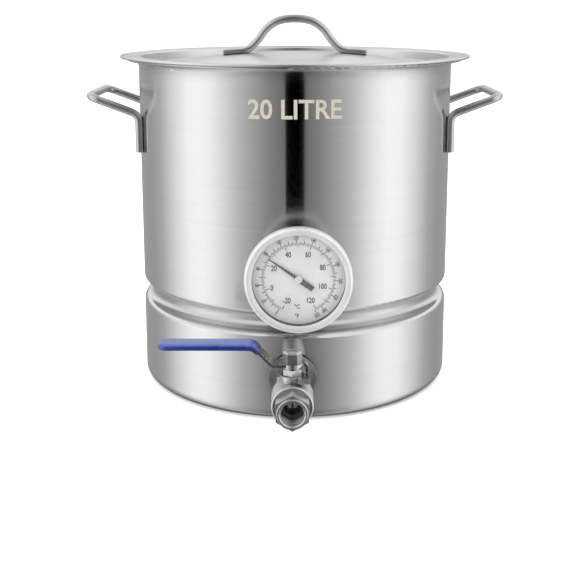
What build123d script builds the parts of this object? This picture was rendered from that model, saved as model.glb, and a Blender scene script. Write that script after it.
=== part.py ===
"""Home brewing kettle with lid, dial thermometer, ball valve, false bottom and filter tube.

Millimetres. The origin is on the pot's axis at the underside of its base, +Z is up and the
fittings face -Y, so +X is on the right of someone who looks at them.
"""

import math
import os

from build123d import *

# ---- pot ----
POT_R = 151.5
SHEET = 0.8
BASE_CORNER_R = 9.0
GROOVE_Z = 89.3
GROOVE_LIP_R = 4.5
GROOVE_ROOT_R = 8.6
FLARE_Z = 306.0
FLARE_R = 8.0
POT_FLANGE_R = 161.0
POT_HEM_ROD = 1.5
POT_IN_R = POT_R - SHEET
POT_TOP_Z = FLARE_Z + FLARE_R + SHEET

# ---- clearances ----
GAP = 0.3  # between pieces that move apart
CASE_GAP = 0.5
CUT_SPAN = 4.0  # how far a cutting cylinder reaches, in radii of what it cuts

# ---- lid ----
LID_Z = POT_TOP_Z + GAP  # underside of the lid's flange
LID_BEAD_R = 167.8
LID_BEAD_ROD = 1.2
LID_WALL_TOP_R = 149.2
LID_WALL_FOOT_R = 148.0
LID_BEND_R = 1.5
LID_RECESS_R = 139.0
LID_RECESS_Z = 305.6
LID_DOME_Z = 318.8
LID_SPHERE_R = (LID_RECESS_R**2 + (LID_DOME_Z - LID_RECESS_Z) ** 2) / (
    2 * (LID_DOME_Z - LID_RECESS_Z)
)
LID_ROD = 3.9
# Middle line of the handle's right half: distance from the lid's axis, and height.
LID_HANDLE_LINE = ((42.0, 323.2), (36.0, 329.8), (28.0, 340.3), (18.6, 347.2), (9.0, 349.9))
LID_HANDLE_TOP = 350.5
LID_ANKLE_LEAN = 0.9  # run for each unit of rise where the rod leaves the foot
LID_FOOT_IN = 46.0
LID_FOOT_NECK = 51.0
LID_FOOT_OUT = 70.0
LID_FOOT_W = 9.6
LID_FOOT_T = 5.2

# ---- side handles ----
HANDLE_ROD = 3.75
HANDLE_LEG_Y = 48.0
HANDLE_SINK = 0.6  # how deep the legs are flattened where they are welded to the wall
HANDLE_LEG_X = math.sqrt((POT_R + HANDLE_ROD - HANDLE_SINK) ** 2 - HANDLE_LEG_Y**2)
HANDLE_LEG_Z = 226.5
HANDLE_BEND_Z = 262.1
HANDLE_BAR_X = 193.5
HANDLE_BAR_Z = 279.5
HANDLE_CORNER_R = 10.0

# ---- thermometer, measured outwards from the wall along -Y ----
DIAL_X = 3.1
DIAL_Z = 136.7
PROBE_HOLE_R = 10.8
STUB_R = 10.4
STUB_IN = 26.0
SEAL_R = 12.9
SEAL_SECTION_R = 2.0
SEAL_IN = 1.9  # middle of the inner seal behind the wall's inner face
DIAL_WASHER_R = 15.9
DIAL_WASHER_IN = 3.9
DIAL_WASHER_T = 1.6
DIAL_NUT_AF = 28.0
DIAL_NUT_T = 6.5
NUT_CHAMFER = 0.8
DIAL_HEX_AF = 24.0
DIAL_HEX_AT = 3.4
DIAL_FLANGE_R = 15.6
DIAL_FLANGE_T = 1.8
DIAL_NECK_AT = 13.0
CASE_AT = 17.0
CASE_R = 44.0
CASE_SHEET = 1.0
CASE_BOSS_R = 16.4
CASE_BOSS_T = 1.2
FACE_AT = 30.0
BEZEL_LIP_AT = 28.6
# The bezel's half section: distance from the dial's axis, and distance from the wall.
BEZEL_OUTLINE = (
    (CASE_R, 22.0),
    (45.2, 22.0),
    (46.15, 23.6),
    (46.15, 27.4),
    (45.45, 29.1),
    (43.95, FACE_AT),
    (42.1, FACE_AT),
    (40.1, 29.4),
    (39.5, BEZEL_LIP_AT),
    (CASE_R, BEZEL_LIP_AT),
)
WINDOW_AT = 27.0
WINDOW_T = 1.6
WINDOW_R = 42.4
DIAL_PLATE_AT = 20.4
DIAL_PLATE_T = 0.6
DIAL_PLATE_R = 42.4
DIAL_PLATE_RIM = 2.0
PROBE_R = 3.0
PROBE_WALL = 0.6
PROBE_IN = 60.0
NEEDLE_AT = 23.0
NEEDLE_T = 0.5
NEEDLE_LONG = 30.6
NEEDLE_ROOT_W = 3.0
NEEDLE_TIP_W = 0.7
NEEDLE_TAIL = 15.0
NEEDLE_TAIL_W = 4.5
NEEDLE_REST = 55.0  # degrees anticlockwise from straight up, as seen from the front
SPINDLE_R = 0.9
HUB_R = 3.15
HUB_T = 1.4
HUB_ROUND = 0.6

# ---- bulkhead, measured outwards or inwards from the wall ----
VALVE_X = -2.0
VALVE_Z = 42.0
BORE_R = 7.4
BULK_THREAD_R = 10.4
BULK_HOLE_R = 10.8
BULK_SEAL_R = 13.1
BULK_SEAL_SECTION_R = 2.1
BULK_WASHER_R = 21.0
BULK_WASHER_AT = 3.0
BULK_WASHER_T = 2.2
BULK_WASHER_CHAMFER = 0.6
BULK_HEX_AF = 26.0
BULK_HEX_AT = 5.2
BULK_HEX_T = 13.0
BULK_SHOULDER_R = 10.9
BULK_SHOULDER_T = 2.0
BULK_THREAD_END = 2.0  # what is left free at the bottom of the valve's inlet thread
BULK_IN = 26.0
INNER_WASHER_AT = 3.1
INNER_WASHER_T = 1.6
INNER_WASHER_R = 16.1
INNER_NUT_AF = 30.0
INNER_NUT_T = 7.0

# ---- ball valve, measured along its axis from the stem towards the outlet ----
STEM_Y = -206.0
VALVE_IN = -31.0
VALVE_OUT = 33.0
HEX_AF = 27.0
COLLAR_R = 12.9
COLLAR_T = 3.5
MOUTH_CHAMFER = 1.0
HOUSING_FROM = -17.0
HOUSING_TO = 17.0
HOUSING_R = 17.5
# The housing's outer half section: distance from its axis, and distance along it.
HOUSING_OUTLINE = (
    (0.0, -18.0),
    (12.5, -18.0),
    (16.3, -13.0),
    (HOUSING_R, -9.5),
    (HOUSING_R, 16.0),
    (16.5, HOUSING_TO),
    (0.0, HOUSING_TO),
)
FEMALE_R = 9.9
FEMALE_DEEP = 14.5
CAP_THREAD_R = 14.4
CAP_THREAD_FROM = 9.6
CHAMBER_R = 13.0
CHAMBER_FROM = -13.0
SEAT_INNER_TO = -8.0
SEAT_OUTER_FROM = 6.0
BALL_R = 12.0
BALL_BORE_R = 7.3
NECK_R = 9.4
BONNET_R = 9.8
BONNET_FROM = 18.2
BONNET_TOP = 22.3
STOP_FAR = 9.6
STOP_SIDE = 8.6
STOP_LONG = 10.0
STOP_W = 8.0
STEM_R = 5.0
STEM_THREAD_R = 4.0
STEM_BOTTOM = 9.6
STEM_TANG = 9.0
STEM_SHOULDER = 12.4
STEM_CHAMFER = 0.6
STEM_FLAT_W = 7.0
PACKING_R = 7.6
PACKING_FROM = 13.6
GLAND_SHANK_FROM = 18.0
GLAND_AF = 15.0
GLAND_TOP = 28.0
LEVER_FROM = 30.5
LEVER_T = 2.5
LEVER_HUB_W = 19.0
LEVER_ARM_W = 16.0
LEVER_TIP_R = 6.0
LEVER_RISE_X = 16.5
LEVER_RISE = 16.2
LEVER_RUN = 16.0
LEVER_REACH = 109.0
LEVER_BEND_R = 2.6
LEVER_TAIL_X = 13.2
LEVER_LUG_DOWN = 20.4
LEVER_LUG_W = 7.0
GRIP_W = 20.0
GRIP_T = 5.4
GRIP_TIP_R = 7.0
GRIP_FROM_X = 28.0
GRIP_CLOSED = 1.2
WASHER_R = 8.2
WASHER_T = 2.0
NUT_AF = 14.0
NUT_T = 9.2
NUT_TOP_CHAMFER = 1.1
STEM_TOP = LEVER_FROM + LEVER_T + NUT_T - 0.6

# ---- false bottom ----
RING_R = 140.7
RING_ROD = 2.0
# The rim wire rests on the groove's inner side, a running gap above it.
SCREEN_Z = (
    GROOVE_Z
    + math.sqrt((GROOVE_ROOT_R + SHEET + RING_ROD) ** 2 - (POT_R - GROOVE_LIP_R - RING_R) ** 2)
    + GAP
    + 0.1
)
SCREEN_T = 0.8
BAIL_R = 124.0
BAIL_ROD = 2.0
BAIL_CORNER_R = 4.0
BAIL_STUB_X = 136.5
WELD_GAP = 0.05
BAIL_Z = SCREEN_Z + SCREEN_T / 2 + GAP + WELD_GAP + BAIL_ROD
CLIP_FROM_X = 129.5
CLIP_TO_X = 137.7
CLIP_WALL = 1.0
CLIP_FOOT_W = 22.0
CLIP_HOOK_R = 2.5  # leaves room for the rim wire's curve

# ---- filter tube, measured inwards from the wall ----
FILTER_HEX_AF = 31.0
FILTER_HEX_FROM = 13.4
FILTER_HEX_TO = 26.4
FILTER_COLLAR_R = 13.6
FILTER_COLLAR_TO = 40.0
FILTER_R = 12.7
FILTER_WALL = 0.8
FILTER_LIP = 2.0  # where the collar reaches over the tube's end
FILTER_ROUND_TO = 130.0
FILTER_END = 208.0
FILTER_END_HALF_W = 22.0
FILTER_END_HALF_T = 1.9
CRIMP_LONG = 12.0
CRIMP_HALF_W = 24.0
CRIMP_HALF_T = 3.0
CRIMP_ROUND = 2.8
CRIMP_PAST = 1.5  # how far the crimp reaches past the tube's end

# ---- frames of the fittings ----
# Both look outwards along -Y, with the sketch's x to the right and its y upwards.
DIAL_FACE = Plane(origin=(DIAL_X, -POT_R, DIAL_Z), x_dir=(1, 0, 0), z_dir=(0, -1, 0))
BULK_FACE = Plane(origin=(VALVE_X, -POT_R, VALVE_Z), x_dir=(1, 0, 0), z_dir=(0, -1, 0))
VALVE_FACE = Plane(origin=(VALVE_X, STEM_Y, VALVE_Z), x_dir=(1, 0, 0), z_dir=(0, -1, 0))
# Half sections: the sketch's x is the distance from the fitting's axis, its y runs outwards.
DIAL_HALF = Plane(origin=(DIAL_X, -POT_R, DIAL_Z), x_dir=(1, 0, 0), z_dir=(0, 0, -1))
BULK_HALF = Plane(origin=(VALVE_X, -POT_R, VALVE_Z), x_dir=(1, 0, 0), z_dir=(0, 0, -1))
VALVE_HALF = Plane(origin=(VALVE_X, STEM_Y, VALVE_Z), x_dir=(1, 0, 0), z_dir=(0, 0, -1))
DIAL_AXIS = Axis((DIAL_X, -POT_R, DIAL_Z), (0, -1, 0))
BULK_AXIS = Axis((VALVE_X, -POT_R, VALVE_Z), (0, -1, 0))
STEM = Plane(origin=(VALVE_X, STEM_Y, VALVE_Z), x_dir=(1, 0, 0), z_dir=(0, 0, 1))
STEM_SIDE = Plane(origin=(VALVE_X, STEM_Y, VALVE_Z), x_dir=(1, 0, 0), z_dir=(0, -1, 0))


def ring_profile(inner, outer, start, end):
    """A rectangle in a half section, from one distance along the axis to another."""
    with Locations(((inner + outer) / 2, (start + end) / 2)):
        Rectangle(outer - inner, end - start)


def hexagon(across_flats, rotation=30):
    """A hexagon by its width across flats; at 30 degrees it has corners above and below."""
    return RegularPolygon(across_flats / math.sqrt(3), 6, rotation=rotation)


def dome_section(radius):
    """The right half of a disc about the centre of the lid's dome."""
    with Locations((0, LID_DOME_Z - LID_SPHERE_R)):
        Circle(radius)
        Rectangle(
            2 * radius,
            2 * radius,
            align=(Align.MAX, Align.CENTER),
            mode=Mode.SUBTRACT,
        )


# ======== pot ========

with BuildPart() as pot_shell:
    with BuildSketch(Plane.XZ):
        with BuildLine():
            groove_x = POT_R - GROOVE_LIP_R
            low_lip = GROOVE_Z - GROOVE_ROOT_R
            high_lip = GROOVE_Z + GROOVE_ROOT_R
            Line((0, 0), (POT_R - BASE_CORNER_R, 0))
            RadiusArc((POT_R - BASE_CORNER_R, 0), (POT_R, BASE_CORNER_R), -BASE_CORNER_R)
            Line((POT_R, BASE_CORNER_R), (POT_R, low_lip - GROOVE_LIP_R))
            RadiusArc((POT_R, low_lip - GROOVE_LIP_R), (groove_x, low_lip), -GROOVE_LIP_R)
            ThreePointArc(
                (groove_x, low_lip), (groove_x - GROOVE_ROOT_R, GROOVE_Z), (groove_x, high_lip)
            )
            RadiusArc((groove_x, high_lip), (POT_R, high_lip + GROOVE_LIP_R), -GROOVE_LIP_R)
            Line((POT_R, high_lip + GROOVE_LIP_R), (POT_R, FLARE_Z))
            RadiusArc((POT_R, FLARE_Z), (POT_R + FLARE_R, FLARE_Z + FLARE_R), FLARE_R)
            Line((POT_R + FLARE_R, FLARE_Z + FLARE_R), (POT_FLANGE_R, FLARE_Z + FLARE_R))
            offset(amount=SHEET, side=Side.LEFT)
        make_face()
        with Locations((POT_FLANGE_R, POT_TOP_Z - POT_HEM_ROD)):
            Circle(POT_HEM_ROD)
    revolve(axis=Axis.Z)
    with BuildSketch(DIAL_FACE.offset(-POT_R / 2)):
        Circle(PROBE_HOLE_R)
    extrude(amount=POT_R, mode=Mode.SUBTRACT)
    with BuildSketch(BULK_FACE.offset(-POT_R / 2)):
        Circle(BULK_HOLE_R)
    extrude(amount=POT_R, mode=Mode.SUBTRACT)

with BuildPart() as handle_right:
    with BuildLine() as handle_path:
        FilletPolyline(
            (HANDLE_LEG_X, HANDLE_LEG_Y, HANDLE_LEG_Z),
            (HANDLE_LEG_X, HANDLE_LEG_Y, HANDLE_BEND_Z),
            (HANDLE_BAR_X, HANDLE_LEG_Y, HANDLE_BAR_Z),
            (HANDLE_BAR_X, -HANDLE_LEG_Y, HANDLE_BAR_Z),
            (HANDLE_LEG_X, -HANDLE_LEG_Y, HANDLE_BEND_Z),
            (HANDLE_LEG_X, -HANDLE_LEG_Y, HANDLE_LEG_Z),
            radius=HANDLE_CORNER_R,
        )
    with BuildSketch(Plane(origin=handle_path.line @ 0, z_dir=handle_path.line % 0)):
        Circle(HANDLE_ROD)
    sweep(path=handle_path.line)
    with Locations((0, 0, (HANDLE_LEG_Z + HANDLE_BAR_Z) / 2)):
        Cylinder(POT_R, 2 * (HANDLE_BAR_Z - HANDLE_LEG_Z), mode=Mode.SUBTRACT)

with BuildPart() as handle_left:
    add(handle_right.part)
    mirror(about=Plane.YZ, mode=Mode.REPLACE)

# ======== lid ========

with BuildPart() as lid_shell:
    with BuildSketch(Plane.XZ):
        with BuildLine():
            dome = RadiusArc((0, LID_DOME_Z), (LID_RECESS_R, LID_RECESS_Z), LID_SPHERE_R)
            wall_foot = (LID_WALL_FOOT_R, LID_RECESS_Z)
            wall_top = (LID_WALL_TOP_R, LID_Z + SHEET)
            flange_edge = (LID_BEAD_R, LID_Z + SHEET)
            FilletPolyline(dome @ 1, wall_foot, wall_top, flange_edge, radius=LID_BEND_R)
            offset(amount=SHEET, side=Side.RIGHT)
        make_face()
        with Locations((LID_BEAD_R, LID_Z + SHEET / 2)):
            Circle(LID_BEAD_ROD)
    revolve(axis=Axis.Z)

with BuildPart() as lid_handle:
    # the feet, which follow the dome above and underneath
    with BuildSketch(Plane.XY.offset(LID_RECESS_Z)):
        with Locations(((LID_FOOT_IN + LID_FOOT_OUT) / 2, 0), (-(LID_FOOT_IN + LID_FOOT_OUT) / 2, 0)):
            SlotOverall(LID_FOOT_OUT - LID_FOOT_IN, LID_FOOT_W)
    extrude(amount=LID_DOME_Z - LID_RECESS_Z + LID_FOOT_T)
    with BuildSketch(Plane.XZ):
        dome_section(LID_SPHERE_R + LID_FOOT_T)
    revolve(axis=Axis.Z, mode=Mode.INTERSECT)
    with BuildLine() as lid_path:
        left_half = [(-x, 0, z) for x, z in LID_HANDLE_LINE]
        right_half = [(x, 0, z) for x, z in reversed(LID_HANDLE_LINE)]
        Spline(
            *left_half,
            (0, 0, LID_HANDLE_TOP),
            *right_half,
            tangents=((LID_ANKLE_LEAN, 0, 1), (LID_ANKLE_LEAN, 0, -1)),
        )
    with BuildSketch(Plane(origin=lid_path.line @ 0, z_dir=lid_path.line % 0)):
        Circle(LID_ROD)
    sweep(path=lid_path.line)
    # between rod and foot the round section flattens
    for side in (-1, 1):
        ankle_x, ankle_z = LID_HANDLE_LINE[0]
        ankle = Plane(origin=(side * ankle_x, 0, ankle_z), z_dir=(side * LID_ANKLE_LEAN, 0, -1))
        neck_z = LID_DOME_Z - LID_FOOT_NECK**2 / (2 * LID_SPHERE_R) + LID_FOOT_T / 2
        neck_slope = LID_FOOT_NECK / LID_SPHERE_R
        neck = Plane(origin=(side * LID_FOOT_NECK, 0, neck_z), z_dir=(side, 0, -neck_slope))
        with BuildSketch(ankle):
            Circle(LID_ROD)
        with BuildSketch(neck):
            Ellipse(LID_FOOT_T / 2, LID_FOOT_W / 2)
        loft()
    with BuildSketch(Plane.XZ):
        dome_section(LID_SPHERE_R)
    revolve(axis=Axis.Z, mode=Mode.SUBTRACT)

# ======== thermometer ========

with BuildPart() as thermometer_case:
    with BuildSketch(DIAL_HALF):
        ring_profile(STUB_R, CASE_R, CASE_AT, CASE_AT + CASE_SHEET)
        ring_profile(CASE_R - CASE_SHEET, CASE_R, CASE_AT, WINDOW_AT)
        ring_profile(STUB_R, CASE_BOSS_R, CASE_AT - CASE_BOSS_T, CASE_AT)
    revolve(axis=DIAL_AXIS)

with BuildPart() as thermometer_bezel:
    with BuildSketch(DIAL_HALF):
        with BuildLine():
            Polyline(*BEZEL_OUTLINE, close=True)
        make_face()
    revolve(axis=DIAL_AXIS)

with BuildPart() as thermometer_window:
    with BuildSketch(DIAL_FACE.offset(WINDOW_AT)):
        Circle(WINDOW_R)
    extrude(amount=WINDOW_T)

with BuildPart() as thermometer_gasket:
    with BuildSketch(DIAL_HALF):
        ring_profile(WINDOW_R, CASE_R, WINDOW_AT, BEZEL_LIP_AT)
    revolve(axis=DIAL_AXIS)

with BuildPart() as thermometer_dial:
    with BuildSketch(DIAL_HALF):
        plate_front = DIAL_PLATE_AT + DIAL_PLATE_T
        ring_profile(SPINDLE_R + CASE_GAP, DIAL_PLATE_R, DIAL_PLATE_AT, plate_front)
        # rim that carries the plate on the back of the case
        rim_in_r = DIAL_PLATE_R - DIAL_PLATE_RIM
        ring_profile(rim_in_r, DIAL_PLATE_R, CASE_AT + CASE_SHEET, DIAL_PLATE_AT)
    revolve(axis=DIAL_AXIS)

with BuildPart() as thermometer_fitting:
    with BuildSketch(DIAL_FACE.offset(DIAL_HEX_AT)):
        hexagon(DIAL_HEX_AF)
    extrude(amount=DIAL_NECK_AT - DIAL_HEX_AT)
    with BuildSketch(DIAL_HALF):
        ring_profile(PROBE_R, STUB_R, -STUB_IN, CASE_AT + CASE_SHEET)
        ring_profile(STUB_R, DIAL_FLANGE_R, DIAL_HEX_AT, DIAL_HEX_AT + DIAL_FLANGE_T)
    revolve(axis=DIAL_AXIS)
    with BuildSketch(DIAL_FACE.offset(-STUB_IN)):
        Circle(PROBE_R)
    extrude(amount=STUB_IN + FACE_AT, mode=Mode.SUBTRACT)

with BuildPart() as thermometer_probe:
    with BuildSketch(DIAL_HALF):
        ring_profile(PROBE_R - PROBE_WALL, PROBE_R, -PROBE_IN, CASE_AT + CASE_SHEET)
        ring_profile(0, PROBE_R, -PROBE_IN - PROBE_WALL, -PROBE_IN)
    revolve(axis=DIAL_AXIS)

with BuildPart() as thermometer_seal_outer:
    with BuildSketch(DIAL_HALF):
        with Locations((SEAL_R, DIAL_HEX_AT - SEAL_SECTION_R)):
            Circle(SEAL_SECTION_R)
    revolve(axis=DIAL_AXIS)
    with Locations((0, 0, DIAL_Z)):
        Cylinder(POT_R, CUT_SPAN * SEAL_R, mode=Mode.SUBTRACT)

with BuildPart() as thermometer_seal_inner:
    with BuildSketch(DIAL_HALF):
        with Locations((SEAL_R, -SHEET - SEAL_IN)):
            Circle(SEAL_SECTION_R)
    revolve(axis=DIAL_AXIS)
    with Locations((0, 0, DIAL_Z)):
        Cylinder(POT_IN_R, CUT_SPAN * SEAL_R, mode=Mode.INTERSECT)

with BuildPart() as thermometer_washer:
    with BuildSketch(DIAL_HALF):
        dial_washer_face = -SHEET - DIAL_WASHER_IN
        ring_profile(STUB_R, DIAL_WASHER_R, dial_washer_face - DIAL_WASHER_T, dial_washer_face)
    revolve(axis=DIAL_AXIS)

with BuildPart() as thermometer_locknut:
    with BuildSketch(DIAL_FACE.offset(dial_washer_face - DIAL_WASHER_T - DIAL_NUT_T)):
        hexagon(DIAL_NUT_AF, rotation=0)
    extrude(amount=DIAL_NUT_T)
    chamfer(faces().filter_by(Axis.Y).edges(), length=NUT_CHAMFER)
    with BuildSketch(DIAL_FACE.offset(-STUB_IN)):
        Circle(STUB_R)
    extrude(amount=STUB_IN, mode=Mode.SUBTRACT)

with BuildPart() as pointer_needle:
    with BuildSketch(DIAL_FACE.offset(NEEDLE_AT)):
        with BuildLine(Plane.XY.rotated((0, 0, NEEDLE_REST))):
            Polyline(
                (-NEEDLE_TAIL_W / 2, -NEEDLE_TAIL),
                (NEEDLE_TAIL_W / 2, -NEEDLE_TAIL),
                (NEEDLE_TAIL_W / 2, -HUB_R),
                (NEEDLE_ROOT_W / 2, 0),
                (NEEDLE_TIP_W / 2, NEEDLE_LONG),
                (-NEEDLE_TIP_W / 2, NEEDLE_LONG),
                (-NEEDLE_ROOT_W / 2, 0),
                (-NEEDLE_TAIL_W / 2, -HUB_R),
                close=True,
            )
        make_face()
        Circle(HUB_R)
        Circle(SPINDLE_R, mode=Mode.SUBTRACT)
    extrude(amount=NEEDLE_T)

with BuildPart() as pointer_cap:
    with BuildSketch(DIAL_FACE.offset(NEEDLE_AT + NEEDLE_T)):
        Circle(HUB_R)
    extrude(amount=HUB_T)
    fillet(faces().sort_by(Axis.Y)[0].edges(), radius=HUB_ROUND)

with BuildPart() as pointer_spindle:
    with BuildSketch(DIAL_FACE.offset(-PROBE_IN / 2)):
        Circle(SPINDLE_R)
    extrude(amount=PROBE_IN / 2 + NEEDLE_AT + NEEDLE_T)

# ======== bulkhead ========

with BuildPart() as bulkhead_nipple:
    with BuildSketch(BULK_HALF):
        ring_profile(BORE_R, BULK_THREAD_R, -BULK_IN, BULK_HEX_AT)
        shoulder_end = BULK_HEX_AT + BULK_HEX_T + BULK_SHOULDER_T
        ring_profile(BORE_R, BULK_SHOULDER_R, BULK_HEX_AT, shoulder_end)
        nipple_end = -POT_R - STEM_Y + VALVE_IN + FEMALE_DEEP - BULK_THREAD_END
        ring_profile(BORE_R, FEMALE_R, BULK_HEX_AT, nipple_end)
    revolve(axis=BULK_AXIS)
    with BuildSketch(BULK_FACE.offset(BULK_HEX_AT)):
        hexagon(BULK_HEX_AF)
        Circle(BORE_R, mode=Mode.SUBTRACT)
    extrude(amount=BULK_HEX_T)

with BuildPart() as bulkhead_washer_outer:
    with BuildSketch(BULK_HALF):
        ring_profile(BULK_THREAD_R, BULK_WASHER_R, BULK_WASHER_AT, BULK_WASHER_AT + BULK_WASHER_T)
    revolve(axis=BULK_AXIS)
    chamfer(edges().filter_by(GeomType.CIRCLE).sort_by(Axis.Y)[0], length=BULK_WASHER_CHAMFER)

with BuildPart() as bulkhead_seal_outer:
    with BuildSketch(BULK_HALF):
        with Locations((BULK_SEAL_R, BULK_WASHER_AT - BULK_SEAL_SECTION_R)):
            Circle(BULK_SEAL_SECTION_R)
    revolve(axis=BULK_AXIS)
    with Locations((0, 0, VALVE_Z)):
        Cylinder(POT_R, CUT_SPAN * BULK_SEAL_R, mode=Mode.SUBTRACT)

with BuildPart() as bulkhead_seal_inner:
    with BuildSketch(BULK_HALF):
        washer_face = -SHEET - INNER_WASHER_AT
        with Locations((BULK_SEAL_R, washer_face + BULK_SEAL_SECTION_R)):
            Circle(BULK_SEAL_SECTION_R)
    revolve(axis=BULK_AXIS)
    with Locations((0, 0, VALVE_Z)):
        Cylinder(POT_IN_R, CUT_SPAN * BULK_SEAL_R, mode=Mode.INTERSECT)

with BuildPart() as bulkhead_washer_inner:
    with BuildSketch(BULK_HALF):
        ring_profile(BULK_THREAD_R, INNER_WASHER_R, washer_face - INNER_WASHER_T, washer_face)
    revolve(axis=BULK_AXIS)

with BuildPart() as bulkhead_locknut:
    with BuildSketch(BULK_FACE.offset(washer_face - INNER_WASHER_T - INNER_NUT_T)):
        hexagon(INNER_NUT_AF, rotation=0)
    extrude(amount=INNER_NUT_T)
    chamfer(faces().filter_by(Axis.Y).edges(), length=NUT_CHAMFER)
    with BuildSketch(BULK_FACE.offset(-BULK_IN)):
        Circle(BULK_THREAD_R)
    extrude(amount=BULK_IN, mode=Mode.SUBTRACT)

# ======== ball valve ========

with BuildPart() as valve_body:
    with BuildSketch(VALVE_FACE.offset(VALVE_IN)):
        hexagon(HEX_AF)
    extrude(amount=HOUSING_FROM - VALVE_IN)
    with BuildSketch(VALVE_HALF):
        with BuildLine():
            Polyline(*HOUSING_OUTLINE, close=True)
        make_face()
    revolve(axis=BULK_AXIS)
    with BuildSketch(STEM):
        Circle(NECK_R)
    extrude(amount=BONNET_TOP)
    with BuildSketch(STEM.offset(BONNET_FROM)):
        Circle(BONNET_R)
        # two stops that the lever's bent end meets, a quarter turn apart
        with Locations((STOP_FAR, -STOP_SIDE)):
            Rectangle(STOP_LONG, STOP_W)
        with Locations((-STOP_SIDE, STOP_FAR)):
            Rectangle(STOP_W, STOP_LONG)
    extrude(amount=BONNET_TOP - BONNET_FROM)
    # waterway: female inlet, port, ball chamber, seat for the end cap
    with BuildSketch(VALVE_HALF):
        ring_profile(0, FEMALE_R, VALVE_IN, VALVE_IN + FEMALE_DEEP)
        ring_profile(0, BORE_R, VALVE_IN + FEMALE_DEEP, CHAMBER_FROM)
        ring_profile(0, CHAMBER_R, CHAMBER_FROM, CAP_THREAD_FROM)
        ring_profile(0, CAP_THREAD_R, CAP_THREAD_FROM, HOUSING_TO)
    revolve(axis=BULK_AXIS, mode=Mode.SUBTRACT)
    # stem bore, packing box and gland thread
    with BuildSketch(STEM):
        Circle(STEM_R + GAP)
    extrude(amount=BONNET_TOP, mode=Mode.SUBTRACT)
    with BuildSketch(STEM.offset(PACKING_FROM)):
        Circle(PACKING_R)
    extrude(amount=BONNET_TOP - PACKING_FROM, mode=Mode.SUBTRACT)

with BuildPart() as valve_end_cap:
    with BuildSketch(VALVE_FACE.offset(HOUSING_TO)):
        hexagon(HEX_AF)
    extrude(amount=VALVE_OUT - COLLAR_T - HOUSING_TO)
    with BuildSketch(VALVE_HALF):
        ring_profile(0, CAP_THREAD_R, CAP_THREAD_FROM, HOUSING_TO)
        ring_profile(0, COLLAR_R, HOUSING_TO, VALVE_OUT)
    revolve(axis=BULK_AXIS)
    chamfer(edges().filter_by(GeomType.CIRCLE).sort_by(Axis.Y)[0], length=MOUTH_CHAMFER / 2)
    with BuildSketch(VALVE_HALF):
        ring_profile(0, BORE_R, CAP_THREAD_FROM, VALVE_OUT - FEMALE_DEEP)
        with BuildLine():
            Polyline(
                (0, VALVE_OUT - FEMALE_DEEP),
                (FEMALE_R, VALVE_OUT - FEMALE_DEEP),
                (FEMALE_R, VALVE_OUT - MOUTH_CHAMFER),
                (FEMALE_R + MOUTH_CHAMFER, VALVE_OUT),
                (0, VALVE_OUT),
                close=True,
            )
        make_face()
    revolve(axis=BULK_AXIS, mode=Mode.SUBTRACT)

with BuildPart() as valve_seats:
    with BuildSketch(VALVE_HALF):
        ring_profile(BORE_R, CHAMBER_R, CHAMBER_FROM, SEAT_INNER_TO)
        ring_profile(BORE_R, CHAMBER_R, SEAT_OUTER_FROM, CAP_THREAD_FROM)
    revolve(axis=BULK_AXIS)
    with Locations((VALVE_X, STEM_Y, VALVE_Z)):
        Sphere(BALL_R + GAP, mode=Mode.SUBTRACT)

with BuildPart() as valve_packing:
    with BuildSketch(STEM.offset(PACKING_FROM)):
        Circle(PACKING_R)
        Circle(STEM_R + GAP, mode=Mode.SUBTRACT)
    extrude(amount=GLAND_SHANK_FROM - PACKING_FROM)

with BuildPart() as valve_gland_nut:
    with BuildSketch(STEM.offset(GLAND_SHANK_FROM)):
        Circle(PACKING_R)
    extrude(amount=BONNET_TOP - GLAND_SHANK_FROM)
    with BuildSketch(STEM.offset(BONNET_TOP)):
        hexagon(GLAND_AF)
    extrude(amount=GLAND_TOP - BONNET_TOP)
    with BuildSketch(STEM.offset(GLAND_SHANK_FROM)):
        Circle(STEM_R + GAP)
    extrude(amount=GLAND_TOP - GLAND_SHANK_FROM, mode=Mode.SUBTRACT)

with BuildPart() as valve_ball:
    with Locations((VALVE_X, STEM_Y, VALVE_Z)):
        Sphere(BALL_R)
        # closed: the bore lies across the waterway
        Cylinder(BALL_BORE_R, 2 * BALL_R, rotation=(0, 90, 0), mode=Mode.SUBTRACT)
    with BuildSketch(STEM.offset(STEM_BOTTOM)):
        Rectangle(2 * STEM_R, STEM_R)
    extrude(amount=BALL_R, mode=Mode.SUBTRACT)

with BuildPart() as valve_stem:
    with BuildSketch(STEM.offset(STEM_BOTTOM)):
        Rectangle(STEM_TANG, STEM_R)
    extrude(amount=STEM_SHOULDER - STEM_BOTTOM)
    with BuildSketch(STEM.offset(STEM_SHOULDER)):
        Circle(STEM_R)
    extrude(amount=LEVER_FROM - STEM_SHOULDER)
    with BuildSketch(STEM.offset(LEVER_FROM)):
        Circle(STEM_THREAD_R)
        Rectangle(4 * STEM_THREAD_R, STEM_FLAT_W, mode=Mode.INTERSECT)
    extrude(amount=LEVER_T)
    with BuildSketch(STEM.offset(LEVER_FROM + LEVER_T)):
        Circle(STEM_THREAD_R)
    extrude(amount=STEM_TOP - LEVER_FROM - LEVER_T)
    chamfer(faces().sort_by(Axis.Z)[-1].edges(), length=STEM_CHAMFER)

lever_low = LEVER_FROM + LEVER_T / 2
lever_high = lever_low + LEVER_RISE
lever_rise_end = -LEVER_RISE_X - LEVER_RUN
# The lever's middle line in its side view, from the bent-down tail to the tip.
LEVER_LINE = (
    (LEVER_TAIL_X - LEVER_T / 2, LEVER_LUG_DOWN),
    (LEVER_TAIL_X - LEVER_T / 2, lever_low),
    (-LEVER_RISE_X, lever_low),
    (lever_rise_end, lever_high),
    (-LEVER_REACH, lever_high),
)

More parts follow.
